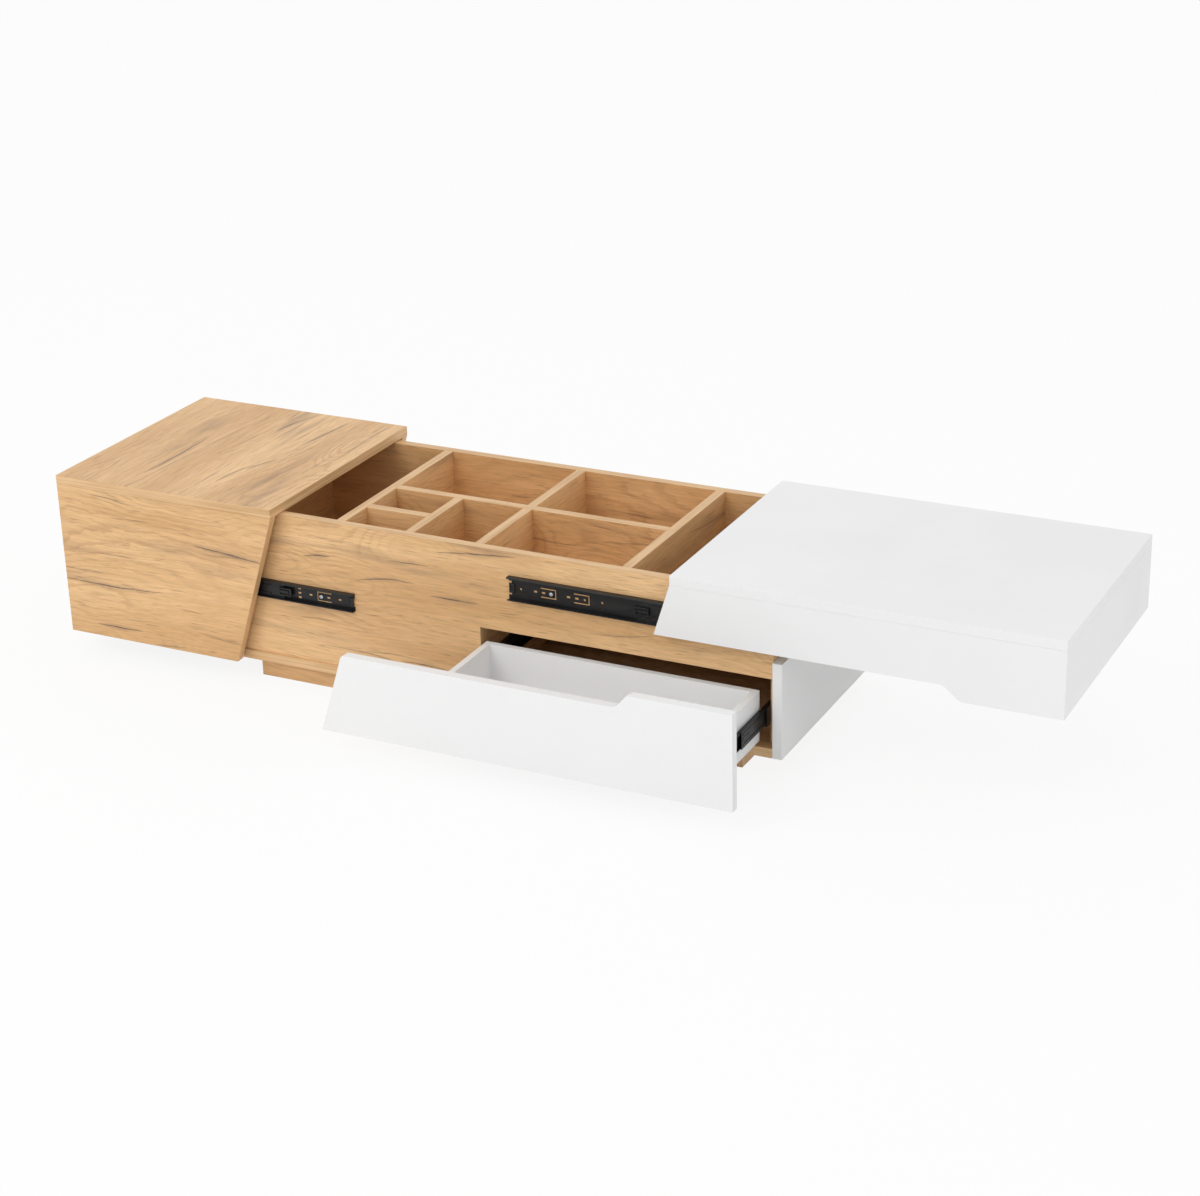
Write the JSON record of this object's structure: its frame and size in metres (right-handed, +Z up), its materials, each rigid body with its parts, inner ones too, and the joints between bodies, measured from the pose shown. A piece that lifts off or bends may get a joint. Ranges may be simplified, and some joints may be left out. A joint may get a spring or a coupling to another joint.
{
  "type": "sliding top coffee table",
  "caption": "Low table whose two tops slide apart on ball bearing rails over a core of open storage bays, with drawers at front and rear and a recessed plinth.",
  "frame": {"origin": "on the floor, under the middle of the core, on the underside of the plinth's middle rail", "axes": "+X along the table to the white end, -Y to the front with the open drawer, +Z up"},
  "size_m": [1.982, 0.687, 0.365],
  "materials": {
    "oak_board": "satin laminate with oak grain",
    "white_board": "satin white laminate",
    "black_steel": "satin black",
    "zinc_screw": "bright zinc"
  },
  "bodies": {
    "carcass": {"plinth_front_rail": "oak_board", "plinth_back_rail": "oak_board", "plinth_left_rail": "oak_board", "plinth_right_rail": "oak_board", "plinth_middle_rail": "oak_board", "bottom_board": "oak_board", "front_panel": "oak_board", "back_panel": "oak_board", "left_end_board": "oak_board", "right_end_board": "oak_board", "deep_bay_divider": "oak_board", "compartment_floor": "oak_board", "middle_divider": "oak_board", "right_divider": "oak_board", "long_divider": "oak_board", "small_bay_divider": "oak_board", "small_bay_cross_divider": "oak_board", "drawer_bay_partition": "oak_board", "white_end_panel": "white_board", "left_front_cabinet_rail": "black_steel", "left_back_cabinet_rail": "black_steel", "right_front_cabinet_rail": "black_steel", "right_back_cabinet_rail": "black_steel", "front_drawer_cabinet_rails": "black_steel", "rear_drawer_cabinet_rails": "black_steel", "carcass_screws": "zinc_screw"},
    "left_top": {"left_top_board": "oak_board", "left_front_side": "oak_board", "left_back_side": "oak_board", "left_end_panel": "oak_board", "left_front_inner_rail": "black_steel", "left_back_inner_rail": "black_steel", "left_top_screws": "zinc_screw"},
    "right_top": {"right_top_board": "white_board", "right_front_apron": "white_board", "right_back_apron": "white_board", "right_end_apron": "white_board", "right_front_inner_rail": "black_steel", "right_back_inner_rail": "black_steel", "right_top_screws": "zinc_screw"},
    "left_top_links": {"left_front_middle_rail": "black_steel", "left_back_middle_rail": "black_steel"},
    "right_top_links": {"right_front_middle_rail": "black_steel", "right_back_middle_rail": "black_steel"},
    "front_drawer": {"front_drawer_front": "white_board", "front_drawer_left_side": "white_board", "front_drawer_right_side": "white_board", "front_drawer_back": "white_board", "front_drawer_bottom": "white_board", "front_drawer_inner_rails": "black_steel", "front_drawer_screws": "zinc_screw"},
    "front_drawer_links": {"front_drawer_middle_rails": "black_steel"},
    "rear_drawer": {"rear_drawer_front": "white_board", "rear_drawer_left_side": "white_board", "rear_drawer_right_side": "white_board", "rear_drawer_back": "white_board", "rear_drawer_bottom": "white_board", "rear_drawer_inner_rails": "black_steel", "rear_drawer_screws": "zinc_screw"},
    "rear_drawer_links": {"rear_drawer_middle_rails": "black_steel"}
  },
  "joints": [
    {"name": "left_top_slide", "type": "slide", "parent": "carcass", "child": "left_top", "axis": [-1, 0, 0], "range_m": [-0.3, 0]},
    {"name": "left_top_links_slide", "type": "slide", "parent": "carcass", "child": "left_top_links", "axis": [-1, 0, 0], "range_m": [-0.15, 0]},
    {"name": "right_top_slide", "type": "slide", "parent": "carcass", "child": "right_top", "axis": [1, 0, 0], "range_m": [-0.5, 0]},
    {"name": "right_top_links_slide", "type": "slide", "parent": "carcass", "child": "right_top_links", "axis": [1, 0, 0], "range_m": [-0.25, 0]},
    {"name": "front_drawer_slide", "type": "slide", "parent": "carcass", "child": "front_drawer", "axis": [0, -1, 0], "range_m": [-0.187, 0]},
    {"name": "front_drawer_links_slide", "type": "slide", "parent": "carcass", "child": "front_drawer_links", "axis": [0, -1, 0], "range_m": [-0.0935, 0]},
    {"name": "rear_drawer_slide", "type": "slide", "parent": "carcass", "child": "rear_drawer", "axis": [0, 1, 0], "range_m": [0, 0.187]},
    {"name": "rear_drawer_links_slide", "type": "slide", "parent": "carcass", "child": "rear_drawer_links", "axis": [0, 1, 0], "range_m": [0, 0.0935]}
  ],
  "couplings": [
    {"joint": "left_top_links_slide", "follows": "left_top_slide", "ratio": 0.5},
    {"joint": "right_top_links_slide", "follows": "right_top_slide", "ratio": 0.5},
    {"joint": "front_drawer_links_slide", "follows": "front_drawer_slide", "ratio": 0.5},
    {"joint": "rear_drawer_links_slide", "follows": "rear_drawer_slide", "ratio": 0.5}
  ]
}
